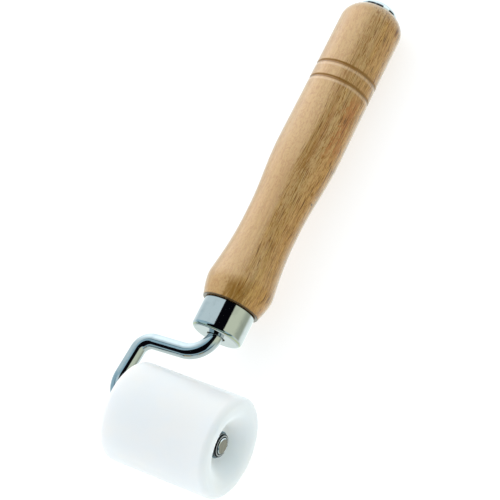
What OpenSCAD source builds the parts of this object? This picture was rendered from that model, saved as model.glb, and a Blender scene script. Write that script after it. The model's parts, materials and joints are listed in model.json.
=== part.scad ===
// Hand roller (brayer): a plastic roller that turns on a cranked steel rod,
// held by a turned beech handle with a drawn ferrule and a domed butt cap.
// The tool lies at rest, on its roller and on the end of its handle.
// X is the roller's axis, +Y runs towards the butt of the handle, +Z is up.
// The origin is on the surface, under the middle of the roller.

/* [Roller] */
// Diameter of the rolling face
roller_d = 38; // [36:1:42]
// Width of the roller
roller_w = 45; // [44:1:48]
// Rounding of the roller's outer edges
roller_edge = 2.5; // [1:0.5:4]
// Radius where the sloping wall of each dished end would meet its end face
recess_mouth = 12.8; // [11.8:0.2:13]
// Slope of that wall, from the end face
recess_slope = 45; // [40:1:50]
// Rounding of the recess's lip
recess_lip = 3.5; // [2:0.5:4]
// Width from hub floor to hub floor
hub_w = 32.4; // [32:0.1:33]

/* [Axle and its fastenings] */
// Diameter of the rod that the whole frame is bent from
rod_d = 6; // [5.8:0.1:6.2]
// Radial running clearance between rod and bush
running_gap = 0.05; // [0.02:0.01:0.1]
// Outer diameter of the two bushes
bush_d = 8; // [7.6:0.1:8.2]
// Length of one bush
bush_l = 10; // [6:1:14]
// Outer diameter of the side washers
washer_d = 10; // [9:0.2:10.4]
// Thickness of the side washers
washer_t = 0.8; // [0.5:0.1:1]
// Axial gap between each hub floor and its washer
side_gap = 0.15; // [0.1:0.05:0.3]
// Outer radius of the retaining ring
ring_r = 4.4; // [4:0.1:4.6]
// Thickness of the retaining ring
ring_t = 1.1; // [0.9:0.1:1.2]

/* [Cranked rod] */
// How far the handle's axis stands towards the leg, from the roller's middle
handle_offset = 3.8; // [0:0.2:8]
// Height of the cross run above the roller's axis, at the handle
run_inner = 28.6; // [27:0.2:32]
// Height of the cross run above the roller's axis, at the leg
run_outer = 27.2; // [26:0.2:30]
// Distance of the leg's upper corner from the roller's middle
leg_top = 30.3; // [30:0.1:33]
// Distance of the leg's lower corner from the roller's middle
leg_foot = 32.6; // [32:0.1:35]
// Bend radii of the rod's centre line: at the handle, at the leg, at the axle
bend_handle = 10; // [9:0.5:11]
bend_leg = 5.4; // [5:0.2:7]
bend_axle = 10.6; // [9:0.2:11]

/* [Handle] */
// Radius of the straight grip
grip_r = 12.5; // [12:0.1:12.9]
// Largest radius of the bulb next to the ferrule
bulb_r = 13.05; // [12.6:0.05:13.5]
// Radius of the lip that overhangs the ferrule
lip_r = 11; // [10.6:0.1:11.4]
// Smallest radius, at the waist
waist_r = 10.9; // [10:0.1:12]
// Radius of the swell above the waist
swell_r = 12.66; // [12.5:0.02:12.9]
// Rounding of the butt
butt_round = 8; // [6:0.5:9]
// Distance from the roller's axis to the flat end of the wood
butt_end = 181.2; // [170:0.2:190]
// Depth of the two turned grooves
groove_depth = 0.4; // [0.2:0.1:0.6]
// Width of the two turned grooves
groove_w = 1.4; // [1:0.1:1.8]

/* [Ferrule] */
// Outer radius of the ferrule
ferrule_r = 10; // [9.6:0.1:10.4]
// Wall thickness of the ferrule
ferrule_wall = 0.8; // [0.6:0.1:1]
// Rounding of the ferrule's lower edge
ferrule_edge = 1.6; // [1.2:0.1:2]
// Radius of the hole that the rod leaves by
ferrule_hole = 3.6; // [3.3:0.1:4]

/* [Butt fastening] */
// Radius of the domed cap
cap_r = 7.8; // [7.4:0.1:8.2]
// Height of the cap's dome above its rim
cap_dome = 3.6; // [2.5:0.1:4]
// Radius of the counterbore in the butt
counterbore_r = 6.25; // [6.2:0.05:6.6]
// Width of the hexagonal nut across its flats
nut_flats = 10; // [9.6:0.1:10]
// Thickness of the nut
nut_t = 5; // [4:0.5:5]

/* [Hidden] */
$fn = 96;
ARC_STEPS = 10;                        // straight steps in one drawn arc
roller_r = roller_d / 2;
rod_r = rod_d / 2;
half_w = roller_w / 2;
hub_x = hub_w / 2;                     // hub floor, from the roller's middle
recess_corner = 2.5;                   // rounding between recess floor and wall
washer_x = hub_x + side_gap;           // inner face of each washer
ring_seat = 0.25;                      // depth of the ring's groove in the rod
ring_x = washer_x + washer_t;          // inner face of the ring
ring_opening = 30;                     // open angle of the ring, in degrees
rod_end_x = ring_x + ring_t + 0.5;
rod_chamfer = 0.3;
band_proud = 0.02;
band_l = 0.4;
ear_r = 4.3;                           // reach of the swaged ears
ear_w = 1.6;
ear_t = 2.4;

ferrule_bottom = 37;                   // distances along the handle from here on
ferrule_top = 49;
wood_bottom = 49.2;
bulb_at = 58.5;
waist_from = 82;
waist_to = 87;
swell_at = 118;
grip_from = 140;
grooves_at = [144.8, 151.5];
butt_centre = 174.4;                   // centre of the butt's rounding
butt_centre_r = grip_r - butt_round;
rod_hole_r = rod_r + 0.1;
counterbore_floor = 170.2;
tang_washer_t = 1.2;
tang_end = counterbore_floor + tang_washer_t + nut_t + 1.5;
cap_rim = 0.8;
cap_skirt = 2.8;
cap_wall = 0.85;

// The roller and the butt's rounding both touch the surface at this tilt.
lie_angle = asin((roller_r - butt_round) / norm([butt_centre, butt_centre_r]))
    - atan2(butt_centre_r, butt_centre);

WOOD = [0.84, 0.68, 0.48];
CHROME = [0.80, 0.82, 0.84];
PLASTIC = [0.94, 0.95, 0.96];
BRONZE = [0.72, 0.52, 0.28];
ZINC = [0.66, 0.68, 0.70];
BLACK = [0.14, 0.14, 0.15];

// Points of an arc from angle a0 to angle a1.
function arc(c, r, a0, a1, n = ARC_STEPS) =
    [for (i = [0:n]) let (a = a0 + (a1 - a0) * i / n) c + r * [cos(a), sin(a)]];

// A list from its last item to its first.
function reversed(list) = [for (i = [len(list) - 1:-1:0]) list[i]];

// Points [radius, distance] of a curve after station 0, up to and with station 1.
function ease_out(t) = sin(90 * t);
function ease_both(t) = (1 - cos(180 * t)) / 2;
function stretch(r0, a0, r1, a1, n, both) =
    [for (i = [1:n]) let (t = i / n)
        [r0 + (r1 - r0) * (both ? ease_both(t) : ease_out(t)), a0 + (a1 - a0) * t]];

// Turns a profile drawn as [radius, x] about the roller's axis.
module turned_on_axle() {
    rotate([0, 90, 0]) rotate_extrude() children();
}

// Turns a profile drawn as [radius, distance] about the handle's axis.
module turned_on_handle() {
    translate([-handle_offset, 0, 0]) rotate([-90, 0, 0]) rotate_extrude() children();
}

// Lays the tool down, from the roller's axis to its place on the surface.
module lie_down() {
    translate([0, 0, roller_r]) rotate([-lie_angle, 0, 0]) children();
}

module ring_plate(outer_r, inner_r, thickness) {
    difference() {
        cylinder(r = outer_r, h = thickness);
        translate([0, 0, -1]) cylinder(r = inner_r, h = thickness + 2);
    }
}

// Outline of one side of the roller, from the bore out to the rolling face.
function roller_end() = let (
    floor_r = recess_mouth - (half_w - hub_x) / tan(recess_slope),
    bite = tan(recess_slope / 2)) concat(
    [[bush_d / 2, hub_x]],
    arc([floor_r - recess_corner * bite, hub_x + recess_corner], recess_corner,
        -90, recess_slope - 90),
    arc([recess_mouth + recess_lip * bite, half_w - recess_lip], recess_lip,
        90 + recess_slope, 90),
    arc([roller_r - roller_edge, half_w - roller_edge], roller_edge, 90, 0));

module roller() {
    right = roller_end();
    left = [for (p = right) [p[0], -p[1]]];
    color(PLASTIC) lie_down() turned_on_axle() polygon(concat(right, reversed(left)));
}

module bush(side) {
    color(BRONZE) lie_down()
        translate([side > 0 ? hub_x - bush_l : -hub_x, 0, 0]) rotate([0, 90, 0])
            ring_plate(bush_d / 2, rod_r + running_gap, bush_l);
}

module side_washer(side) {
    color(ZINC) lie_down()
        translate([side > 0 ? washer_x : -washer_x - washer_t, 0, 0]) rotate([0, 90, 0])
            ring_plate(washer_d / 2, rod_hole_r, washer_t);
}

module bush_leg_side() { bush(-1); }
module bush_free_side() { bush(1); }
module washer_leg_side() { side_washer(-1); }
module washer_free_side() { side_washer(1); }

// Section of the retaining ring, and of its groove in the rod.
module ring_section() {
    translate([rod_r - ring_seat, 0]) square([ring_r - rod_r + ring_seat, ring_t]);
}

// An open spring ring, its gap turned down.
module retaining_ring() {
    color(BLACK) lie_down() translate([ring_x, 0, 0]) rotate([0, 90, 0])
        rotate([0, 0, ring_opening / 2]) rotate_extrude(angle = 360 - ring_opening)
            ring_section();
}

// The rod's corners in its own plane, as [x, distance along the handle].
rod_corners = [[-handle_offset, tang_end], [-handle_offset, run_inner],
    [-leg_top, run_outer], [-leg_foot, 0], [rod_end_x, 0]];
rod_bends = [0, bend_handle, bend_leg, bend_axle, 0];

function heading(v) = atan2(v[1], v[0]);
function turn_at(i) = let (
    a = heading(rod_corners[i] - rod_corners[i - 1]),
    b = heading(rod_corners[i + 1] - rod_corners[i])) ((b - a + 540) % 360) - 180;
// Length of straight that a bend takes from each of its two sides.
function bend_reach(i) = rod_bends[i] == 0 ? 0 : rod_bends[i] * tan(abs(turn_at(i)) / 2);

module rod_straight(i) {
    run = rod_corners[i + 1] - rod_corners[i];
    start = bend_reach(i);
    translate(concat(rod_corners[i], 0)) rotate([0, 0, heading(run)])
        translate([start, 0, 0]) rotate([0, 90, 0])
            cylinder(r = rod_r, h = norm(run) - start - bend_reach(i + 1));
}

module rod_bend(i) {
    in_heading = heading(rod_corners[i] - rod_corners[i - 1]);
    turn = turn_at(i);
    side = sign(turn);
    start = rod_corners[i] - bend_reach(i) * [cos(in_heading), sin(in_heading)];
    centre = start + side * rod_bends[i] * [-sin(in_heading), cos(in_heading)];
    first = turn > 0 ? in_heading - 90 : in_heading + 90 + turn;
    translate(concat(centre, 0)) rotate([0, 0, first])
        rotate_extrude(angle = abs(turn)) translate([rod_bends[i], 0]) circle(r = rod_r);
}

// A hair-thin band at each end of a bend, which joins it to the straights.
module rod_bands(i) {
    for (side = [-1, 1]) {
        straight = rod_corners[i + side] - rod_corners[i];
        at = rod_corners[i] + bend_reach(i) * straight / norm(straight);
        translate(concat(at, 0)) rotate([0, 0, heading(straight)]) rotate([0, 90, 0])
            cylinder(r = rod_r + band_proud, h = band_l, center = true);
    }
}

// Two swaged ears stop the washer on the leg's side.
module rod_ears() {
    translate([-washer_x - washer_t - ear_w, 0, 0]) intersection() {
        rotate([0, 90, 0]) cylinder(r = ear_r, h = ear_w);
        translate([0, -ear_r, -ear_t / 2]) cube([ear_w, 2 * ear_r, ear_t]);
    }
}

module rod_end_cut() {
    translate([ring_x, 0, 0]) rotate([0, 90, 0]) rotate_extrude() ring_section();
    turned_on_axle() polygon([[rod_r - rod_chamfer, rod_end_x], [rod_r, rod_end_x - rod_chamfer],
        [rod_r + 1, rod_end_x - rod_chamfer], [rod_r + 1, rod_end_x + 1],
        [rod_r - rod_chamfer, rod_end_x + 1]]);
}

module rod() {
    last = len(rod_corners) - 1;
    color(CHROME) lie_down() difference() {
        union() {
            for (i = [0:last - 1]) rod_straight(i);
            for (i = [1:last - 1]) rod_bend(i);
            for (i = [1:last - 1]) rod_bands(i);
            rod_ears();
        }
        rod_end_cut();
    }
}

function groove(at) = let (
    half = groove_w / 2,
    r = (half * half + groove_depth * groove_depth) / (2 * groove_depth),
    reach = asin(half / r)) arc([grip_r - groove_depth + r, at], r, 180 + reach, 180 - reach, 6);

handle_side = concat(
    [[lip_r, wood_bottom]],
    stretch(lip_r, wood_bottom, bulb_r, bulb_at, 8, false),
    stretch(bulb_r, bulb_at, waist_r, waist_from, 14, false),
    [[waist_r, waist_to]],
    stretch(waist_r, waist_to, swell_r, swell_at, 14, true),
    stretch(swell_r, swell_at, grip_r, grip_from, 7, true),
    groove(grooves_at[0]),
    groove(grooves_at[1]),
    arc([butt_centre_r, butt_centre], butt_round, 0, asin((butt_end - butt_centre) / butt_round)));

module handle() {
    tenon_r = ferrule_r - ferrule_wall;
    tenon_end = ferrule_bottom + ferrule_wall;
    color(WOOD) lie_down() turned_on_handle() polygon(concat(
        [[rod_hole_r, tenon_end], [tenon_r, tenon_end], [tenon_r, wood_bottom]],
        handle_side,
        [[counterbore_r, butt_end], [counterbore_r, counterbore_floor],
            [rod_hole_r, counterbore_floor]]));
}

module ferrule() {
    inner_r = ferrule_r - ferrule_wall;
    floor_at = ferrule_bottom + ferrule_wall;
    color(CHROME) lie_down() turned_on_handle() polygon(concat(
        [[ferrule_hole, floor_at], [ferrule_hole, ferrule_bottom]],
        arc([ferrule_r - ferrule_edge, ferrule_bottom + ferrule_edge], ferrule_edge, -90, 0),
        [[ferrule_r, ferrule_top], [inner_r, ferrule_top], [inner_r, floor_at]]));
}

module end_cap() {
    inner_r = counterbore_r - cap_wall;
    rim_top = butt_end + cap_rim;
    dome = [for (i = [0:12]) let (a = 90 * i / 12) [cap_r * cos(a), rim_top + cap_dome * sin(a)]];
    hollow = [for (i = [12:-1:0]) let (a = 90 * i / 12)
        [inner_r * cos(a), rim_top + (cap_dome - 1.2) * sin(a)]];
    color(CHROME) lie_down() turned_on_handle() polygon(concat(
        [[inner_r, butt_end - cap_skirt], [counterbore_r, butt_end - cap_skirt],
            [counterbore_r, butt_end], [cap_r, butt_end]],
        dome, hollow));
}

module tang_washer() {
    color(ZINC) lie_down() translate([-handle_offset, counterbore_floor, 0]) rotate([-90, 0, 0])
        ring_plate(counterbore_r - 0.25, rod_hole_r, tang_washer_t);
}

module tang_nut() {
    corner_r = nut_flats / 2 / cos(30);
    color(ZINC) lie_down()
        translate([-handle_offset, counterbore_floor + tang_washer_t, 0]) rotate([-90, 0, 0])
            difference() {
                cylinder(r = corner_r, h = nut_t, $fn = 6);
                translate([0, 0, -1]) cylinder(r = rod_r, h = nut_t + 2);
            }
}

handle();
ferrule();
end_cap();
tang_nut();
tang_washer();
rod();
roller();
bush_leg_side();
bush_free_side();
washer_leg_side();
washer_free_side();
retaining_ring();
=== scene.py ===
import json
import math

import bpy
import numpy as np
from mathutils import Matrix, Vector


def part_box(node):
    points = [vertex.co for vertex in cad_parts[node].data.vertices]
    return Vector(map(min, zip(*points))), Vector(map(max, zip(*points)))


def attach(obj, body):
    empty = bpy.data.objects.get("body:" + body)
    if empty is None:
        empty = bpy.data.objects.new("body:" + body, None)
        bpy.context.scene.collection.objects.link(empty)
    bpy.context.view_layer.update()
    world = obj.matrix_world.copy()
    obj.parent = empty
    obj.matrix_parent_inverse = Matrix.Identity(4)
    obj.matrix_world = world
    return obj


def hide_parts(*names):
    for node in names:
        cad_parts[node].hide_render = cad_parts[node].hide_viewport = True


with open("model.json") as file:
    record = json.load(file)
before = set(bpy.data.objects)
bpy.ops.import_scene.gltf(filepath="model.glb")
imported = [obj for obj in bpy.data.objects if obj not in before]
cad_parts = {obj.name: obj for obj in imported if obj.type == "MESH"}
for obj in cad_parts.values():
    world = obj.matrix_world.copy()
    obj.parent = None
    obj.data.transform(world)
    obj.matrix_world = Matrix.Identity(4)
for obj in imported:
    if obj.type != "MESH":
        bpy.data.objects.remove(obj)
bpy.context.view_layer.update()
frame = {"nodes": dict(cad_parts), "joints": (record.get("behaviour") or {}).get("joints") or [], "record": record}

MM = 0.001

# ---------------------------------------------------------------- the frame

clip_seat = next(m for m in frame["record"]["mounts"] if m["name"] == "clip_seat")
along = Vector(clip_seat["axis"]).normalized()          # from the roller to the butt
across = Vector(frame["joints"][0]["axis"])             # to the roller's free end
upward = across.cross(along)
axle = Vector(frame["joints"][0]["pos_m"])
handle_x = clip_seat["pos_m"][0]
grip_r = clip_seat["dims"]["r_mm"]
roller_r = (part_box("roller")[1].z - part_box("roller")[0].z) / 2 / MM
half_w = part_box("roller")[1].x / MM

# ---------------------------------------------------------------- sizes, in millimetres

# The handle, ferrule and cap: distances along the handle are from the axle.
LIP_AT, BULB_AT, WAIST_FROM, WAIST_TO = 49.2, 58.5, 82.0, 87.0
SWELL_AT, GRIP_FROM, BUTT_AT, BUTT_END = 118.0, 140.0, 174.4, 181.2
LIP_R, BULB_R, WAIST_R, SWELL_R, BUTT_ROUND = 11.0, 13.05, 10.9, 12.66, 8.0
GROOVES, GROOVE_HALF, GROOVE_DEEP = (144.8, 151.5), 0.7, 0.4
GROOVED_FROM, GROOVED_TO = 142.0, 154.5
TANG_HOLE_R, SOCKET_R, SOCKET_AT = 3.1, 6.25, 170.2
FERRULE_FROM, FERRULE_TO, FERRULE_R, FERRULE_WALL, FERRULE_HOLE_R = 37.0, 49.0, 10.0, 0.8, 3.6
FERRULE_FLOOR, FERRULE_INNER = FERRULE_FROM + FERRULE_WALL, FERRULE_R - FERRULE_WALL
CAP_R, CAP_INNER, CAP_RIM, CAP_DOME, CAP_WALL, CAP_SKIRT = 7.8, 5.4, 0.8, 3.6, 1.2, 2.8

# The roller, washers, rod and ring: distances along the axle are from the roller's middle.
BORE_R, HUB_R, HUB_AT, MOUTH_R, MOUTH_ROUND, EDGE_ROUND = 4.0, 6.5, 16.2, 12.8, 6.0, 2.5
WASHER_BORE_R, WASHER_R, WASHER_THICK, WASHER_PLAY = 3.1, 5.0, 0.8, 0.15
ROD_R, SEAT_R, RING_R, RING_FROM, RING_TO, ROD_END = 3.0, 2.75, 4.4, 17.15, 18.25, 18.75
# The rod's bar turns at corners (along the axle, along the handle), and the ears are
# swaged on it at the leg's end of the roller.
ROD_CORNERS = [(-3.8, 177.9), (-3.8, 28.6), (-30.3, 27.2), (-32.6, 0.0), (ROD_END, 0.0)]
ROD_BENDS = [10.0, 5.4, 10.6]
EAR_FROM, EAR_TO, EAR_REACH, EAR_HALF = -18.75, -17.15, 4.3, 1.2


def placed(x_axis, y_axis, z_axis, origin):
    """The matrix that carries a local frame, in millimetres, to the row frame."""
    m = Matrix((x_axis, y_axis, z_axis)).transposed().to_4x4()
    m.translation = origin
    return m @ Matrix.Scale(MM, 4)


HANDLE_FRAME = placed(upward, across, along, Vector((handle_x, axle.y, axle.z)))
AXLE_FRAME = placed(along, upward, across, axle)
ROD_FRAME = placed(across, along, upward, axle)


# ---------------------------------------------------------------- mesh code

def fillet(before, corner, after, radius, step):
    """Points and headings along the arc that rounds a corner, or at the bare corner."""
    u, v = corner - before, after - corner
    u, v = u / np.linalg.norm(u), v / np.linalg.norm(v)
    if radius == 0:
        return [(corner, (u + v) / np.linalg.norm(u + v))]
    turn = math.atan2(u[0] * v[1] - u[1] * v[0], u @ v)
    start = corner - u * radius * math.tan(abs(turn) / 2)
    centre = start + math.copysign(radius, turn) * np.array((-u[1], u[0]))
    steps = max(2, math.ceil(abs(math.degrees(turn)) / step))
    out = []
    for i in range(steps + 1):
        c, s = math.cos(turn * i / steps), math.sin(turn * i / steps)
        turned = np.array(((c, -s), (s, c)))
        out.append((centre + turned @ (start - centre), turned @ u))
    return out


def rounded(corners, closed=True, step=6.0):
    """Points (r, z, nr, nz) of an outline whose corners are (r, z, rounding).
    It runs with the material on its left, and its normals point out."""
    out, n = [], len(corners)
    points = [np.array(corner[:2], float) for corner in corners]
    for i, p in enumerate(points):
        if not closed and i in (0, n - 1):
            d = points[1] - p if i == 0 else p - points[-2]
            stretch = [(p, d / np.linalg.norm(d))]
        else:
            stretch = fillet(points[i - 1], p, points[(i + 1) % n], corners[i][2], step)
        out += [(q[0], q[1], d[1], -d[0]) for q, d in stretch]
    return out


def skin(name, rings, normals, frame_matrix, closed_rings, caps):
    """A mesh from rings of points and their normals. caps are (point, normal) at either
    end, or None."""
    rings, normals = np.array(rings, float), np.array(normals, float)
    count, around = rings.shape[:2]
    verts, vnormals = rings.reshape(-1, 3).tolist(), normals.reshape(-1, 3).tolist()
    faces = []
    for i in range(count if closed_rings else count - 1):
        a, b = i * around, ((i + 1) % count) * around
        for j in range(around):
            k = (j + 1) % around
            faces.append((a + j, a + k, b + k, b + j))
    for end, cap in enumerate(caps):
        if cap is None:
            continue
        verts.append(list(cap[0]))
        vnormals.append(list(cap[1]))
        base, tip = (0, len(verts) - 1) if end == 0 else ((count - 1) * around, len(verts) - 1)
        for j in range(around):
            k = (j + 1) % around
            faces.append((base + k, base + j, tip) if end == 0 else (base + j, base + k, tip))
    local = np.array(verts, float)
    m = np.array(frame_matrix, float)
    turned = np.array(vnormals, float) @ (m[:3, :3] / MM).T
    mesh = bpy.data.meshes.new(name)
    mesh.from_pydata((local @ m[:3, :3].T + m[:3, 3]).tolist(), [], faces)
    mesh.shade_smooth()
    mesh.normals_split_custom_set_from_vertices(turned.tolist())
    place = mesh.attributes.new("local_mm", "FLOAT_VECTOR", "POINT")
    place.data.foreach_set("vector", local.astype(np.float32).ravel())
    made = bpy.data.objects.new(name, mesh)
    bpy.context.scene.collection.objects.link(made)
    return made


def lathe(name, outline, frame_matrix, around=256, closed=True):
    """Turns an outline about the local Z axis."""
    phi = np.linspace(0, 2 * math.pi, around, endpoint=False)
    c, s, one = np.cos(phi), np.sin(phi), np.ones(around)
    caps = [None, None]
    if not closed:
        for end, p in ((0, outline[0]), (1, outline[-1])):
            caps[end] = ((0, 0, p[1]), (0, 0, math.copysign(1, p[3])))
        outline = outline[1:-1]
    rings = [np.stack((r * c, r * s, z * one), 1) for r, z, _, _ in outline]
    normals = [np.stack((nr * c, nr * s, nz * one), 1) for _, _, nr, nz in outline]
    return skin(name, rings, normals, frame_matrix, closed, caps)


def finish_piece(piece, body, nodes, material):
    piece.data.materials.append(material)
    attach(piece, body)
    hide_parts(*nodes)
    return piece


# ---------------------------------------------------------------- materials

class Maker:
    """Builds a node tree: a value given as a socket is linked, any other is set."""

    def __init__(self, tree):
        self.tree = tree

    def add(self, kind, inputs=None, **props):
        node = self.tree.nodes.new("ShaderNode" + kind)
        for key, value in props.items():
            setattr(node, key, value)
        for key, value in (inputs or {}).items():
            if isinstance(value, bpy.types.NodeSocket):
                self.tree.links.new(value, node.inputs[key])
            else:
                node.inputs[key].default_value = value
        return node

    def math(self, op, a, b=0.0):
        return self.add("Math", {0: a, 1: b}, operation=op).outputs[0]

    def vec(self, op, a, b=(0, 0, 0)):
        return self.add("VectorMath", {0: a, 1: b}, operation=op)

    def ramp(self, value, low, high, to_low=0.0, to_high=1.0, smooth=True):
        return self.add("MapRange", {"Value": value, "From Min": low, "From Max": high,
                                     "To Min": to_low, "To Max": to_high},
                        interpolation_type="SMOOTHSTEP" if smooth else "LINEAR").outputs[0]

    def mix(self, share, a, b, blend="MIX"):
        node = self.add("Mix", {0: share}, data_type="RGBA", blend_type=blend)
        for socket, value in ((node.inputs[6], a), (node.inputs[7], b)):
            if isinstance(value, bpy.types.NodeSocket):
                self.tree.links.new(value, socket)
            else:
                socket.default_value = tuple(value) + (1.0,)
        return node.outputs[2]

    def noise(self, vector, scale, detail=2.0, rough=0.5, distortion=0.0):
        return self.add("TexNoise", {"Vector": vector, "Scale": scale, "Detail": detail,
                                     "Roughness": rough, "Distortion": distortion}).outputs["Fac"]

    def bump(self, height, strength, distance, normal=None):
        inputs = {"Height": height, "Strength": strength, "Distance": distance}
        if normal is not None:
            inputs["Normal"] = normal
        return self.add("Bump", inputs).outputs[0]


def material(name):
    made = bpy.data.materials.new(name)
    made.use_nodes = True
    maker = Maker(made.node_tree)
    shader = made.node_tree.nodes["Principled BSDF"]

    def put(**sockets):
        for key, value in sockets.items():
            socket = shader.inputs[key.replace("_", " ")]
            if isinstance(value, bpy.types.NodeSocket):
                maker.tree.links.new(value, socket)
            elif isinstance(value, tuple) and len(value) == 3 and socket.type == "RGBA":
                socket.default_value = value + (1.0,)
            else:
                socket.default_value = value
    return made, maker, put


def local_mm(maker):
    """The piece's own coordinates in millimetres. A turned piece has Z along its axis."""
    return maker.add("Attribute", attribute_name="local_mm", attribute_type="GEOMETRY").outputs["Vector"]


def beech():
    made, k, put = material("beech_lacquered")
    p = local_mm(k)
    # Grain axes: u goes through the growth rings, v along them, z along the handle.
    turned = k.add("VectorRotate", {"Vector": p, "Axis": (0, 0, 1), "Angle": math.radians(-42)},
                   rotation_type="AXIS_ANGLE").outputs[0]
    sway = k.noise(k.vec("MULTIPLY", turned, (0.05, 0.05, 0.012)).outputs[0], 1.0, 2.0)
    sway = k.ramp(sway, 0.3, 0.7, -1.6, 1.6, smooth=False)
    shift = k.add("CombineXYZ", {"X": sway, "Y": sway}).outputs[0]
    g = k.vec("ADD", turned, shift).outputs[0]

    def grain(u, v, z, detail=2.0, rough=0.5, distortion=0.0, offset=0.0):
        q = k.vec("MULTIPLY_ADD", g, (1 / u, 1 / v, 1 / z))
        q.inputs[2].default_value = (offset, offset * 0.7, offset * 1.3)
        return k.noise(q.outputs[0], 1.0, detail, rough, distortion)

    bands = grain(5.0, 3.4, 75.0, 3.0, 0.55, 0.15)
    lines = grain(1.3, 0.8, 26.0, 2.0, 0.6, 0.0, 7.0)
    rays = grain(0.9, 0.24, 2.4, 0.0, 0.4, 0.0, 3.0)
    long_rays = grain(0.9, 0.27, 6.2, 0.0, 0.4, 0.0, 11.0)
    streak = grain(3.2, 1.7, 60.0, 2.0, 0.55, 0.1, 71.0)
    pores = grain(0.36, 0.36, 3.6, 1.0, 0.5, 0.0, 19.0)
    curl = grain(1.3, 1.3, 2.4, 2.0, 0.6, 1.6, 83.0)
    red = grain(7.0, 4.5, 46.0, 1.0, 0.5, 0.0, 31.0)
    mottle = grain(6.0, 6.0, 14.0, 2.0, 0.6, 0.0, 43.0)

    # Lines and flecks are strong on two sides of the handle, and faint on the two between.
    z = k.add("SeparateXYZ", {"Vector": p}).outputs["Z"]
    flat = k.vec("NORMALIZE", k.vec("MULTIPLY", p, (1, 1, 0)).outputs[0]).outputs[0]

    def facing(degrees):
        """1 where the surface faces this angle around the handle, and -1 behind."""
        aim = (math.cos(math.radians(degrees)), math.sin(math.radians(degrees)), 0)
        return k.vec("DOT_PRODUCT", flat, aim).outputs["Value"]

    calm_side = k.math("ABSOLUTE", facing(-25))
    calm_side = k.math("ADD", calm_side, k.math("MULTIPLY", k.math("SUBTRACT", curl, 0.5), 0.30))
    lined = k.ramp(calm_side, 0.55, 0.88, 1.0, 0.28)
    flecked = k.math("MULTIPLY", k.ramp(calm_side, 0.55, 0.88, 1.0, 0.10), k.ramp(z, 55, 108, 0.60, 1.0))

    def grained(under, pattern, low, high, share, tone):
        """Lays a tone along the grain where its pattern is high."""
        return k.mix(k.math("MULTIPLY", k.ramp(pattern, low, high, 0.0, share), lined), under, tone)

    cream, tan = (0.570, 0.357, 0.146), (0.565, 0.328, 0.095)
    colour = grained(cream, bands, 0.36, 0.62, 1.0, tan)
    colour = grained(colour, lines, 0.46, 0.64, 0.42, (0.315, 0.165, 0.036))
    colour = grained(colour, streak, 0.54, 0.68, 0.50, (0.33, 0.185, 0.040))
    colour = k.mix(k.ramp(mottle, 0.50, 0.75, 0.0, 0.30), colour, (0.60, 0.345, 0.150))
    colour = grained(colour, red, 0.60, 0.72, 0.45, (0.44, 0.185, 0.065))
    colour = grained(colour, pores, 0.52, 0.68, 0.34, (0.27, 0.135, 0.035))
    colour = k.mix(k.ramp(curl, 0.50, 0.58, 0.0, 0.50), colour, (0.44, 0.215, 0.080))
    # The heart side is redder and deeper in colour.
    colour = k.mix(k.ramp(facing(88), 0.72, 0.97), colour, (1.06, 0.93, 0.70), "MULTIPLY")

    # A red and a brown streak run along the grip, and the foot of the bulb is darker, in streaks along the grain.
    wobble = k.math("MULTIPLY", k.math("SUBTRACT", k.math("ADD", streak, curl), 1.0), 0.16)
    for degrees, half, rise, fall, shares, tone in (
            (67, 13, (106, 122), (138, 144), (0.30, 0.60, 0.35, 0.95), (0.47, 0.165, 0.030)),
            (31, 13, (86, 104), (114, 140), (0.38, 0.60, 0.05, 0.42), (0.33, 0.165, 0.016)),
            (24, 26, (40, 41), (53, 59), (0.25, 0.60, 0.35, 0.95), (0.280, 0.130, 0.010))):
        turned_to = k.math("ADD", facing(degrees), wobble)
        mask = k.ramp(turned_to, math.cos(math.radians(half)), math.cos(math.radians(half * 0.35)))
        mask = k.math("MULTIPLY", mask, k.ramp(z, *rise))
        mask = k.math("MULTIPLY", mask, k.ramp(z, *fall, 1.0, 0.0))
        colour = k.mix(k.math("MULTIPLY", mask, k.ramp(lines, *shares)), colour, tone)

    # Short and long flecks, which are wood rays cut through.
    ray_mask = k.math("MULTIPLY", k.ramp(rays, 0.645, 0.670), k.ramp(bands, 0.34, 0.58, 0.80, 1.0))
    ray_mask = k.math("MULTIPLY", ray_mask, flecked)
    colour = k.mix(k.math("MULTIPLY", ray_mask, 0.92), colour, (0.290, 0.110, 0.0))
    long_mask = k.math("MULTIPLY", k.ramp(long_rays, 0.626, 0.656), k.ramp(bands, 0.40, 0.56, 0.75, 1.0))
    long_mask = k.math("MULTIPLY", long_mask, flecked)
    colour = k.mix(k.math("MULTIPLY", long_mask, 0.95), colour, (0.250, 0.088, 0.0))
    # A few of the long flecks are open checks.
    checks = k.math("MULTIPLY", k.ramp(long_rays, 0.735, 0.755), k.ramp(flecked, 0.3, 0.6))
    colour = k.mix(k.math("MULTIPLY", checks, 0.95), colour, (0.120, 0.038, 0.0))

    # The turned grooves are dark, partly from burnishing and partly as painted shade in their hollows, with a
    # painted highlight on the lip towards the roller.
    groove_shade_and_burnish, pale = 0.0, 0.0
    for at in GROOVES:
        d = k.math("SUBTRACT", z, at)
        near = k.ramp(k.math("ABSOLUTE", d), 0.40, 0.95, 1.0, 0.0)
        groove_shade_and_burnish = k.math("MAXIMUM", near, groove_shade_and_burnish)
        lip_highlight = k.ramp(k.math("ABSOLUTE", k.math("ADD", d, 1.35)), 0.15, 0.8, 1.0, 0.0)
        pale = k.math("MAXIMUM", lip_highlight, pale)
    # the pale band on the lip is a painted highlight
    colour = k.mix(k.math("MULTIPLY", pale, 0.32), colour, (0.84, 0.62, 0.42))
    # the dark in the grooves is painted shade along with burnish
    colour = k.mix(k.math("MULTIPLY", groove_shade_and_burnish, 0.90), colour, (0.270, 0.115, 0.006))
    # Dirt has settled where the wood meets the ferrule.
    colour = k.mix(k.ramp(z, LIP_AT + 0.10, LIP_AT + 0.55, 0.92, 0.0), colour, (0.03, 0.020, 0.010))

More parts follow.
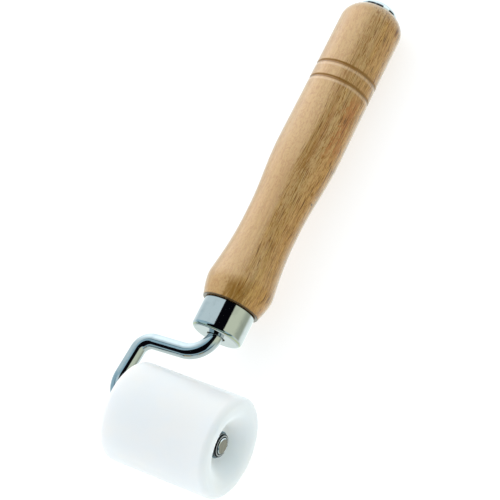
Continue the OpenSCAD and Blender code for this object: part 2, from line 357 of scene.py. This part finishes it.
    # End grain at the butt and at the shoulder drinks more lacquer.
    end_on = k.vec("DOT_PRODUCT", k.add("TexCoord").outputs["Normal"], tuple(along)).outputs["Value"]
    end_grain = k.ramp(k.math("ABSOLUTE", end_on), 0.45, 1.0, 0.0, 0.35)
    colour = k.mix(end_grain, colour, (0.40, 0.215, 0.065))
    pin_knot_at = (0.0, 11.3, 97.4)
    knot = k.vec("DISTANCE", p, pin_knot_at).outputs["Value"]
    colour = k.mix(k.ramp(knot, 0.35, 0.75, 0.85, 0.0), colour, (0.07, 0.045, 0.02))

    fine = grain(0.22, 0.22, 3.0, 2.0, 0.6, 0.0, 57.0)
    rough = k.math("ADD", k.ramp(mottle, 0.3, 0.7, 0.27, 0.36), k.math("MULTIPLY", ray_mask, 0.08))
    rings = k.noise(k.vec("MULTIPLY", p, (0.02, 0.02, 2.2)).outputs[0], 1.0, 2.0)
    height = k.math("ADD", k.math("MULTIPLY", fine, 0.6), k.math("MULTIPLY", ray_mask, -0.7))
    normal = k.bump(height, 0.22, 0.00006)
    normal = k.bump(rings, 0.10, 0.00008, normal)
    put(Base_Color=colour, Roughness=rough, Normal=normal, Coat_Weight=1.0, Coat_Roughness=0.30,
        Specular_IOR_Level=0.1, Coat_IOR=1.42)
    return made


def plated(name, tint, dull, low, high, cut_at=None, worn=False, capped=False):
    """Chrome plate: a clean mirror with faint haze, polishing lines and small pits.
    Beyond X = cut_at, in millimetres, the bar is cut off and brushed bare. A worn
    ferrule shows brass along its lower corner and a near-black band at its upper edge,
    and a cap has a patchy painted dark reflection just above its rim."""
    made, k, put = material(name)
    p = local_mm(k)
    xyz = k.add("SeparateXYZ", {"Vector": p})
    x, z = xyz.outputs["X"], xyz.outputs["Z"]
    haze = k.noise(k.vec("MULTIPLY", p, (0.22, 0.22, 0.22)).outputs[0], 1.0, 4.0, 0.6, 0.3)
    lines = k.noise(k.vec("MULTIPLY", p, (3.0, 3.0, 0.15)).outputs[0], 1.0, 3.0, 0.7)
    pits = k.add("TexVoronoi", {"Vector": p, "Scale": 0.55}, feature="F1").outputs["Distance"]
    colour = k.mix(k.ramp(haze, 0.45, 0.75), tint, dull)
    colour = k.mix(k.ramp(pits, 0.03, 0.075, 0.45, 0.0), colour, tuple(0.5 * c for c in dull))
    rough = k.math("ADD", k.ramp(haze, 0.35, 0.75, low, high), k.ramp(lines, 0.5, 0.8, 0.0, 0.03))
    normal = k.bump(k.math("ADD", haze, k.math("MULTIPLY", lines, 0.05)), 0.05, 0.0004)
    if worn:
        brass = k.math("MULTIPLY", k.ramp(z, FERRULE_FROM + 0.18, FERRULE_FROM + 0.32),
                       k.ramp(z, FERRULE_FROM + 0.62, FERRULE_FROM + 0.80, 1.0, 0.0))
        brass = k.math("MULTIPLY", brass, k.ramp(haze, 0.40, 0.55, 0.35, 0.9))
        colour = k.mix(k.math("MULTIPLY", brass, 0.7), colour, (0.48, 0.50, 0.24))
        # A near-black band runs round the top of the ferrule, next to the wood.
        dark_top_band = k.ramp(z, FERRULE_TO - 0.50, FERRULE_TO - 0.25, 0.0, 0.95)
        colour = k.mix(dark_top_band, colour, (0.02, 0.02, 0.02))
    if capped:
        # Painted dark reflection: patchy near-black just above the rim, standing in for the dark wood the chrome
        # would mirror there.
        patchy = k.noise(k.vec("MULTIPLY", p, (0.30, 0.30, 0.02)).outputs[0], 1.0, 1.0)
        painted_dark_reflection = k.math("MULTIPLY", k.ramp(z, BUTT_END + 1.00, BUTT_END + 1.55, 0.96, 0.0),
                        k.ramp(patchy, 0.50, 0.55))
        colour = k.mix(painted_dark_reflection, colour, (0.012, 0.012, 0.014))
    if cut_at is not None:
        bare = k.ramp(x, cut_at - 0.05, cut_at)
        brushed = k.noise(k.vec("MULTIPLY", p, (1.0, 0.5, 5.0)).outputs[0], 1.0, 3.0, 0.7)
        steel = k.mix(k.ramp(brushed, 0.35, 0.65), (0.15, 0.13, 0.10), (0.25, 0.22, 0.175))
        colour = k.mix(bare, colour, steel)
        rough = k.math("ADD", rough, k.math("MULTIPLY", bare, 0.3))
        normal = k.bump(k.math("MULTIPLY", brushed, bare), 0.3, 0.00005, normal)
    put(Base_Color=colour, Metallic=1.0, Roughness=rough, Normal=normal)
    return made


def zinc():
    made, k, put = material("zinc_plated")
    p = local_mm(k)
    grain = k.noise(k.vec("MULTIPLY", p, (9.0, 9.0, 1.0)).outputs[0], 1.0, 3.0, 0.7)
    cloud = k.noise(k.vec("MULTIPLY", p, (0.6, 0.6, 0.6)).outputs[0], 1.0, 3.0, 0.6)
    colour = k.mix(k.ramp(cloud, 0.35, 0.7), (0.12, 0.18, 0.21), (0.07, 0.11, 0.13))
    rough = k.math("ADD", k.ramp(cloud, 0.3, 0.7, 0.24, 0.36), k.ramp(grain, 0.4, 0.7, 0.0, 0.08))
    put(Base_Color=colour, Metallic=0.8, Roughness=rough, Normal=k.bump(grain, 0.25, 0.00003))
    return made


def blackened():
    made, k, put = material("blackened_spring_steel")
    p = local_mm(k)
    cloud = k.noise(k.vec("MULTIPLY", p, (0.8, 0.8, 0.8)).outputs[0], 1.0, 3.0, 0.6)
    rub_and_glint = k.noise(k.vec("MULTIPLY", p, (2.5, 2.5, 2.5)).outputs[0], 1.0, 2.0, 0.6)
    colour = k.mix(k.ramp(cloud, 0.35, 0.7), (0.002, 0.004, 0.005), (0.006, 0.008, 0.009))
    colour = k.mix(k.ramp(rub_and_glint, 0.62, 0.78, 0.0, 0.4), colour, (0.10, 0.11, 0.11))
    # Painted highlights: a bright ring on its flat face and a bright line around its rim, where its crest and edge
    # would shine.
    glint_ring_r, glint_line_at = 3.70, 17.60
    radius = k.vec("LENGTH", k.vec("MULTIPLY", p, (1, 1, 0)).outputs[0]).outputs["Value"]
    z = k.add("SeparateXYZ", {"Vector": p}).outputs["Z"]
    bright = k.ramp(k.math("ABSOLUTE", k.math("SUBTRACT", radius, glint_ring_r)), 0.05, 0.17, 1.0, 0.0)
    line = k.ramp(k.math("ABSOLUTE", k.math("SUBTRACT", z, glint_line_at)), 0.04, 0.12, 0.7, 0.0)
    line = k.math("MULTIPLY", line, k.ramp(radius, RING_R - 0.15, RING_R - 0.05))
    bright = k.math("MAXIMUM", bright, line)
    # the same noise that gives grey worn patches breaks up the painted highlights
    share = k.math("MULTIPLY", bright, k.ramp(rub_and_glint, 0.35, 0.5, 0.55, 0.95))
    colour = k.mix(share, colour, (0.85, 0.86, 0.84))
    put(Base_Color=colour, Metallic=k.ramp(bright, 0.0, 1.0, 0.7, 0.2),
        Roughness=k.ramp(cloud, 0.3, 0.7, 0.32, 0.44), Normal=k.bump(cloud, 0.15, 0.00004),
        Specular_IOR_Level=0.15)
    return made


def bronze():
    made, k, put = material("bearing_bronze")
    p = local_mm(k)
    cloud = k.noise(k.vec("MULTIPLY", p, (0.9, 0.9, 0.9)).outputs[0], 1.0, 3.0, 0.6)
    pores = k.add("TexVoronoi", {"Vector": p, "Scale": 3.2}, feature="F1").outputs["Distance"]
    colour = k.mix(k.ramp(cloud, 0.35, 0.7), (0.66, 0.45, 0.22), (0.42, 0.27, 0.13))
    colour = k.mix(k.ramp(pores, 0.08, 0.22, 0.6, 0.0), colour, (0.16, 0.10, 0.05))
    put(Base_Color=colour, Metallic=1.0, Roughness=k.ramp(cloud, 0.3, 0.7, 0.32, 0.46),
        Normal=k.bump(pores, 0.2, 0.00003))
    return made


def milky_plastic():
    made, k, put = material("milky_plastic")
    p = local_mm(k)
    xyz = k.add("SeparateXYZ", {"Vector": p})
    cloud = k.noise(k.vec("MULTIPLY", p, (0.07, 0.07, 0.07)).outputs[0], 1.0, 3.0, 0.5)
    speck = k.noise(k.vec("MULTIPLY", p, (1.1, 1.1, 1.1)).outputs[0], 1.0, 3.0, 0.6)
    colour = k.mix(k.ramp(cloud, 0.35, 0.68), (0.860, 0.885, 0.900), (0.885, 0.892, 0.885))
    colour = k.mix(k.ramp(speck, 0.62, 0.80, 0.0, 0.06), colour, (0.72, 0.74, 0.74))
    # Faint turning marks: rings on the rolling face and on the dished ends.
    flat = k.add("CombineXYZ", {"X": xyz.outputs["X"], "Y": xyz.outputs["Y"]}).outputs[0]
    radius = k.vec("LENGTH", flat).outputs["Value"]
    track = k.add("CombineXYZ", {"X": k.math("MULTIPLY", radius, 3.2),
                                 "Y": k.math("MULTIPLY", xyz.outputs["Z"], 3.2)}).outputs[0]
    marks = k.noise(track, 1.0, 3.0, 0.65)
    rough = k.math("ADD", k.ramp(cloud, 0.3, 0.7, 0.34, 0.42), k.ramp(marks, 0.4, 0.7, 0.0, 0.05))
    normal = k.bump(marks, 0.10, 0.00004)
    normal = k.bump(speck, 0.06, 0.00008, normal)
    put(Base_Color=colour, Roughness=rough, Normal=normal, IOR=1.5,
        Subsurface_Weight=0.9, Subsurface_Radius=(1.0, 0.95, 0.9), Subsurface_Scale=0.006)
    return made


BEECH = beech()
CHROME_TURNED = plated("chrome_drawn", (0.56, 0.57, 0.57), (0.50, 0.51, 0.51), 0.03, 0.07, worn=True)
CHROME_CAP = plated("chrome_cap", (0.56, 0.57, 0.57), (0.50, 0.51, 0.51), 0.03, 0.07, capped=True)
CHROME_ROD = plated("chrome_bar", (0.55, 0.57, 0.58), (0.48, 0.50, 0.52), 0.03, 0.08,
                    cut_at=ROD_END - 0.03)
ZINC = zinc()
BLACKENED = blackened()
BRONZE = bronze()
PLASTIC = milky_plastic()

# ---------------------------------------------------------------- the handle


def side_radius(a):
    """The handle's radius at distance a, without its grooves."""
    stations = [(LIP_AT, LIP_R), (BULB_AT, BULB_R), (WAIST_FROM, WAIST_R), (WAIST_TO, WAIST_R),
                (SWELL_AT, SWELL_R), (GRIP_FROM, grip_r), (BUTT_AT, grip_r)]
    for (a0, r0), (a1, r1) in zip(stations, stations[1:]):
        if a <= a1:
            t = max(0.0, (a - a0) / (a1 - a0))
            on_bulb = a1 <= WAIST_FROM        # its curves start at a slope, the others level
            ease = math.sin(math.pi / 2 * t) if on_bulb else (1 - math.cos(math.pi * t)) / 2
            return r0 + (r1 - r0) * ease
    return grip_r


def groove_cut(a):
    """How deep the grooves are at distance a. Each is an arc in section."""
    for at in GROOVES:
        if abs(a - at) < GROOVE_HALF:
            arc_r = (GROOVE_HALF ** 2 + GROOVE_DEEP ** 2) / (2 * GROOVE_DEEP)
            return math.sqrt(arc_r ** 2 - (a - at) ** 2) - (arc_r - GROOVE_DEEP)
    return 0.0


def handle_outline():
    """Half of the handle's section. Its curves are averaged over 2 mm to blend them."""
    side = []
    for a in np.arange(LIP_AT + 0.6, GROOVED_FROM, 0.5):
        near = [side_radius(a + d) for d in np.linspace(-1, 1, 9) if a + d > LIP_AT]
        side.append((float(np.mean(near)), float(a)))
    for a in np.arange(GROOVED_FROM, GROOVED_TO, 0.1):
        cuts = [groove_cut(a + d) for d in (-0.08, 0, 0.08)]
        side.append((grip_r - float(np.mean(cuts)), float(a)))
    side += [(grip_r, float(a)) for a in np.arange(GROOVED_TO + 0.5, BUTT_AT, 2.0)]
    flat_r, turn = grip_r - BUTT_ROUND, math.asin((BUTT_END - BUTT_AT) / BUTT_ROUND)
    for angle in np.linspace(0, turn, 24, endpoint=False):
        side.append((flat_r + BUTT_ROUND * math.cos(angle), BUTT_AT + BUTT_ROUND * math.sin(angle)))
    rim_r = flat_r + BUTT_ROUND * math.cos(turn)
    return rounded(
        [(TANG_HOLE_R, FERRULE_FLOOR, 0.1), (FERRULE_INNER, FERRULE_FLOOR, 0.3),
         (FERRULE_INNER, LIP_AT, 0.05), (LIP_R, LIP_AT, 0.28)]
        + [(r, a, 0) for r, a in side]
        + [(rim_r, BUTT_END, 0.5), (SOCKET_R, BUTT_END, 0.1), (SOCKET_R, SOCKET_AT, 0.05),
           (TANG_HOLE_R, SOCKET_AT, 0.1)])


handle = finish_piece(lathe("beech_handle", handle_outline(), HANDLE_FRAME, 216),
                      "handle_assembly", ["handle"], BEECH)

# ---------------------------------------------------------------- ferrule and cap

ferrule_line = rounded(
    [(FERRULE_HOLE_R, FERRULE_FLOOR, 0.2), (FERRULE_HOLE_R, FERRULE_FROM, 0.3),
     (FERRULE_R, FERRULE_FROM, 1.6), (FERRULE_R, FERRULE_TO, 0.22),
     (FERRULE_INNER, FERRULE_TO, 0.15), (FERRULE_INNER, FERRULE_FLOOR, 0.7)])
finish_piece(lathe("chrome_ferrule", ferrule_line, HANDLE_FRAME),
             "handle_assembly", ["ferrule"], CHROME_TURNED)


def cap_outline():
    """Half of the cap's section: its hollow, its skirt in the handle's socket, its dome."""
    rim_at, skirt_at, hollow_rise = BUTT_END + CAP_RIM, BUTT_END - CAP_SKIRT, CAP_DOME - CAP_WALL

    def arch(radius, rise, angles):
        turns = [math.radians(angle) for angle in angles]
        return [(radius * math.cos(a), rim_at + rise * math.sin(a), 0) for a in turns]

    return rounded(
        [(0.0, rim_at + hollow_rise, 0)] + arch(CAP_INNER, hollow_rise, range(88, 0, -4))
        + [(CAP_INNER, rim_at, 0), (CAP_INNER, skirt_at, 0.2), (SOCKET_R, skirt_at, 0.2),
           (SOCKET_R, BUTT_END, 0.05), (CAP_R, BUTT_END, 0.18), (CAP_R, rim_at, 0)]
        + arch(CAP_R, CAP_DOME, range(2, 90, 2)) + [(0.0, rim_at + CAP_DOME, 0)], closed=False)


finish_piece(lathe("chrome_end_cap", cap_outline(), HANDLE_FRAME, 192, closed=False),
             "handle_assembly", ["end_cap"], CHROME_CAP)

# ---------------------------------------------------------------- the roller

# Corners of one end, from the bore to the rolling face. The other end mirrors it.
one_end = [(BORE_R, HUB_AT, 0.2), (HUB_R, HUB_AT, 2.5), (MOUTH_R, half_w, MOUTH_ROUND),
           (roller_r, half_w, EDGE_ROUND)]
roller_line = [(r, -x, rounding) for r, x, rounding in one_end] + one_end[::-1]
roller = finish_piece(lathe("plastic_roller", rounded(roller_line, step=4.0), AXLE_FRAME),
                      "roller_assembly", ["roller"], PLASTIC)
roller.visible_glossy = False         # keeps the rod's mirror lines clean

# ---------------------------------------------------------------- the rod


def rod_path():
    """Stations (point, heading) of the rod's centre line, from the tang to the axle."""
    pts = [np.array(corner, float) for corner in ROD_CORNERS]
    out = [(pts[0], (pts[1] - pts[0]) / np.linalg.norm(pts[1] - pts[0]))]
    for i, radius in enumerate(ROD_BENDS, 1):
        out += fillet(pts[i - 1], pts[i], pts[i + 1], radius, 2.0)
    return out


def ear_radius(phi, share):
    """The section through the swaged ears, which reach along the handle's direction."""
    reach = np.minimum(EAR_REACH, EAR_HALF / np.maximum(np.abs(np.sin(phi)), 1e-6))
    return ROD_R + (np.maximum(reach, ROD_R) - ROD_R) * share


def rod_mesh():
    """The bar from its tang to the axle's tip, with its ears and the groove for the ring."""
    phi = np.linspace(0, 2 * math.pi, 96, endpoint=False)
    rings, normals = [], []

    def ring(p, t, r, nr, nt):
        """A ring of radius r around p, where the rod heads along t."""
        side = np.array((-t[1], t[0], 0.0))
        radial = np.outer(np.cos(phi), side) + np.outer(np.sin(phi), (0, 0, 1.0))
        rings.append(np.array((p[0], p[1], 0.0)) + radial * np.reshape(r, (-1, 1)))
        normals.append(radial * nr + np.array((t[0], t[1], 0.0)) * nt)

    path = rod_path()
    start, heading = path[0]
    tang_tip = [(0, 0, 0), (ROD_R - 0.5, 0, 0.1), (ROD_R, 0.5, 0.1), (ROD_R, 2, 0)]
    for r, z, nr, nz in rounded(tang_tip, closed=False)[1:]:
        ring(start + heading * z, heading, r, nr, nz)
    for p, t in path[1:]:
        ring(p, t, ROD_R, 1.0, 0.0)

    axle_way = np.array((1.0, 0.0))
    # stations (place, share of the ears' full reach)
    ears = [(EAR_FROM - 0.3, 0), (EAR_FROM - 0.12, 0.12), (EAR_FROM, 0.55), (EAR_FROM + 0.15, 0.92),
            (EAR_FROM + 0.35, 1), (EAR_TO - 0.35, 1), (EAR_TO - 0.15, 0.95), (EAR_TO - 0.03, 0.7),
            (EAR_TO, 0.0)]
    first = len(rings)
    for x, share in ears:
        ring(np.array((x, 0.0)), axle_way, ear_radius(phi, share), 1.0, 0.0)
    # the ears' normals, from their neighbours
    for i in range(first, len(rings)):
        along_x = rings[min(i + 1, len(rings) - 1)] - rings[i - 1]
        around = np.roll(rings[i], -1, 0) - np.roll(rings[i], 1, 0)
        n = np.cross(around, along_x)
        normals[i] = n / np.linalg.norm(n, axis=1)[:, None]

    axle_tip = rounded([(ROD_R, 0, 0), (ROD_R, RING_FROM, 0.04), (SEAT_R, RING_FROM, 0.04),
                        (SEAT_R, RING_TO, 0.03), (ROD_R, RING_TO, 0.03), (ROD_R, ROD_END - 0.3, 0.10),
                        (ROD_R - 0.3, ROD_END, 0.10), (0, ROD_END, 0)], closed=False)
    for r, x, nr, nx in axle_tip[:-1]:
        ring(np.array((x, 0.0)), axle_way, r, nr, nx)
    caps = [((start[0], start[1], 0), (-heading[0], -heading[1], 0)), ((ROD_END, 0, 0), (1, 0, 0))]
    return skin("chrome_rod", rings, normals, ROD_FRAME, False, caps)


finish_piece(rod_mesh(), "handle_assembly", ["rod"], CHROME_ROD)

# ---------------------------------------------------------------- washers and ring


def washer(name, x):
    """A side washer that starts at x along the axle."""
    end = x + WASHER_THICK
    corners = [(WASHER_BORE_R, x, 0.1), (WASHER_R, x, 0.12), (WASHER_R, end, 0.22),
               (WASHER_BORE_R, end, 0.1)]
    return lathe(name, rounded(corners, step=12), AXLE_FRAME, 128)


finish_piece(washer("side_washer_free", HUB_AT + WASHER_PLAY), "handle_assembly",
             ["washer_free_side"], ZINC)
finish_piece(washer("side_washer_leg", -HUB_AT - WASHER_PLAY - WASHER_THICK), "handle_assembly",
             ["washer_leg_side"], ZINC)


def spring_ring():
    """An open ring of flat section with eased edges, its gap turned down."""
    section = rounded([(SEAT_R, RING_FROM, 0.1), (RING_R, RING_FROM, 0.25), (RING_R, RING_TO, 0.45),
                       (SEAT_R, RING_TO, 0.1)], step=10)
    middle_r, middle_z = (SEAT_R + RING_R) / 2, (RING_FROM + RING_TO) / 2
    half_gap = math.radians(15)

    def outward(a):
        """The direction at an angle from straight down, as X is along the handle and Y up."""
        return np.array((math.cos(a - math.pi / 2), math.sin(a - math.pi / 2), 0))

    rings, normals = [], []
    for a in np.linspace(2 * math.pi - half_gap, half_gap, 121):
        rings.append([outward(a) * r + (0, 0, z) for r, z, _, _ in section])
        normals.append([outward(a) * nr + (0, 0, nz) for _, _, nr, nz in section])
    caps = []
    for sign, a in ((1, 2 * math.pi - half_gap), (-1, half_gap)):
        tangent = np.array((-outward(a)[1], outward(a)[0], 0)) * sign
        caps.append((outward(a) * middle_r + (0, 0, middle_z), tangent))
    return skin("open_spring_ring", rings, normals, AXLE_FRAME, False, caps)


finish_piece(spring_ring(), "handle_assembly", ["retaining_ring"], BLACKENED)

# The pieces inside are the CAD's own, with finished materials.
for node, made in (("tang_nut", ZINC), ("tang_washer", ZINC),
                   ("bush_leg_side", BRONZE), ("bush_free_side", BRONZE)):
    mesh = frame["nodes"][node].data
    mesh.materials.clear()
    mesh.materials.append(made)
    points = np.zeros(len(mesh.vertices) * 3, np.float32)
    mesh.vertices.foreach_get("co", points)
    mesh.attributes.new("local_mm", "FLOAT_VECTOR", "POINT").data.foreach_set("vector", points / MM)

# ---------------------------------------------------------------- studio


def plain_floor():
    made, k, put = material("pale_floor")
    p = k.add("TexCoord").outputs["Object"]
    tone = k.noise(p, 9.0, 3.0, 0.5)
    put(Base_Color=k.mix(tone, (0.44, 0.44, 0.44), (0.46, 0.46, 0.46)), Roughness=0.8,
        Specular_IOR_Level=0.1, Emission_Color=(1.0, 1.0, 1.0), Emission_Strength=0.70)
    mesh = bpy.data.meshes.new("floor")
    corners, floor_r, floor_z = 96, 8.0, -1e-5
    phi = np.linspace(0, 2 * math.pi, corners, endpoint=False)
    disc = [(floor_r * math.cos(a), floor_r * math.sin(a), floor_z) for a in phi]
    mesh.from_pydata(disc, [], [tuple(range(corners))])
    mesh.materials.append(made)
    floor = bpy.data.objects.new("floor", mesh)
    bpy.context.scene.collection.objects.link(floor)
    floor.visible_glossy = False          # mirrors see the room painted in studio_world


plain_floor()


def studio_world():
    """A pale room. Mirrors see its panels: a broad cool one on the left, a bright one
    behind the butt, a warmer wall on the right and a dark gap above the tool."""
    world = bpy.data.worlds.new("studio")
    bpy.context.scene.world = world
    world.use_nodes = True
    world.cycles.sampling_method = "NONE"
    k = Maker(world.node_tree)
    direction = k.add("TexCoord").outputs["Generated"]
    xyz = k.add("SeparateXYZ", {"Vector": direction})
    x, y, z = (xyz.outputs[axis] for axis in "XYZ")
    panels = k.mix(k.ramp(x, 0.18, 0.45), (0.76, 0.94, 1.00), (0.80, 0.88, 0.69))
    step = k.math("MULTIPLY", k.ramp(y, 0.21, 0.255, 1.0, 0.0), k.ramp(x, 0.0, 0.15, 1.0, 0.0))
    panels = k.mix(step, panels, (0.42, 0.66, 0.78))
    panels = k.mix(k.ramp(y, 0.30, 0.75), panels, (1.50, 1.75, 1.85))
    panels = k.mix(k.ramp(y, -0.55, -0.05, 1.0, 0.0), panels, (0.46, 0.67, 0.75))
    # the table's edge and what lies below it
    below = k.mix(k.ramp(x, 0.1, 0.5), (0.90, 1.05, 1.10), (0.50, 0.57, 0.46))
    below = k.mix(k.ramp(z, -0.85, -0.60, 1.0, 0.0), below, (1.15, 1.30, 1.28))
    below = k.mix(k.ramp(y, -0.4, 0.0, 1.0, 0.0), below, (0.84, 0.96, 0.93))
    below = k.mix(k.ramp(y, 0.3, 0.6), below, (1.25, 1.45, 1.50))
    panels = k.mix(k.ramp(z, -0.45, 0.05, 1.0, 0.0), panels, below)
    # a dark line near the horizon in front, and a thin dark bar high on the left
    level = k.ramp(k.math("ABSOLUTE", k.math("SUBTRACT", z, 0.05)), 0.06, 0.17, 0.93, 0.0)
    level = k.math("MULTIPLY", level, k.ramp(y, -0.5, -0.1, 1.0, 0.0))
    panels = k.mix(level, panels, (0.04, 0.10, 0.12))
    boom = k.ramp(k.math("ABSOLUTE", k.math("SUBTRACT", y, 0.13)), 0.02, 0.08, 0.7, 0.0)
    boom = k.math("MULTIPLY", boom, k.ramp(x, -0.50, -0.35, 1.0, 0.0))
    panels = k.mix(k.math("MULTIPLY", boom, k.ramp(z, 0.60, 0.75)), panels, (0.04, 0.06, 0.07))
    # the dark part of the room behind the camera
    spread = k.ramp(y, -0.45, 0.1, 0.24, 0.0)
    offset = k.math("ABSOLUTE", k.math("ADD", k.math("SUBTRACT", x, 0.335), spread))
    dark = k.ramp(k.math("SUBTRACT", offset, spread), 0.335, 0.395, 1.0, 0.0)
    length = k.math("ABSOLUTE", k.math("ADD", y, 0.25))
    dark = k.math("MULTIPLY", dark, k.ramp(length, 0.62, 0.75, 1.0, 0.0))
    dark = k.math("MULTIPLY", dark, k.ramp(z, 0.30, 0.45))
    panels = k.mix(dark, panels, (0.003, 0.003, 0.005))
    # what lights the matt surfaces is softer, and the camera sees plain white
    path = k.add("LightPath")
    soft = k.mix(k.ramp(x, -0.5, 0.8, smooth=False), (1.045, 1.005, 1.040), (0.36, 0.48, 0.465))
    soft = k.mix(k.ramp(y, -0.9, -0.1, 1.0, 0.0), soft, (1.02, 1.07, 1.11))
    colour = k.mix(path.outputs["Is Glossy Ray"], soft, panels)
    colour = k.mix(path.outputs["Is Camera Ray"], colour, (1.0, 1.0, 1.0))
    world.node_tree.links.new(colour, world.node_tree.nodes["Background"].inputs["Color"])


studio_world()


def softbox(name, place, aim, width, height, power, colour, only=None):
    """An area lamp. With only, it is a panel that just this piece's lacquer mirrors."""
    light = bpy.data.lights.new(name, "AREA")
    light.shape, light.size, light.size_y = "RECTANGLE", width, height
    light.energy, light.color = power, colour
    lamp = bpy.data.objects.new(name, light)
    bpy.context.scene.collection.objects.link(lamp)
    lamp.location = place
    lamp.rotation_mode = "QUATERNION"
    lamp.rotation_quaternion = (Vector(aim) - Vector(place)).to_track_quat("-Z", "Y")
    lamp.visible_camera = False
    lamp.visible_glossy = only is not None
    lamp.visible_diffuse = only is None
    if only is not None:
        group = bpy.data.collections.new(name + "_receivers")
        group.objects.link(only)
        lamp.light_linking.receiver_collection = group
    return lamp


# The key comes from the left and behind. A long panel on the left gives the handle its sheen.
softbox("key", (-0.85, 0.55, 0.80), (0, 0.08, 0.02), 0.9, 0.9, 4.2, (1.0, 0.99, 0.97))

middle = axle + along * 0.115
left = Vector((-0.69, 0.27, 0.67)).normalized()
sheen = softbox("sheen", middle + left * 0.8 + along * 0.23, middle, 0.74, 1.9, 7.8,
                (0.94, 0.98, 1.06), handle)
sheen.rotation_quaternion = Matrix((along, left.cross(along), left)).transposed().to_quaternion()

# ---------------------------------------------------------------- camera

# It looks down at about 58 degrees, from beyond the roller and its free end.
camera = bpy.data.cameras.new("camera")
camera.lens, camera.sensor_width = 122.4, 36.0
camera.clip_start, camera.clip_end = 0.01, 50.0
eye = bpy.data.objects.new("camera", camera)
bpy.context.scene.collection.objects.link(eye)
back = Vector((0.4621, -0.2555, 0.8492)).normalized()
up = Vector((-0.2700, 0.8716, 0.4092))
up = (up - back * up.dot(back)).normalized()
eye.rotation_mode = "QUATERNION"
eye.rotation_quaternion = Matrix((up.cross(back), up, back)).transposed().to_quaternion()
eye.location = (0.2859, -0.0891, 0.5550)
bpy.context.scene.camera = eye

view = bpy.context.scene.view_settings
view.view_transform = "Standard"
view.look = "None"
view.exposure = 0.0
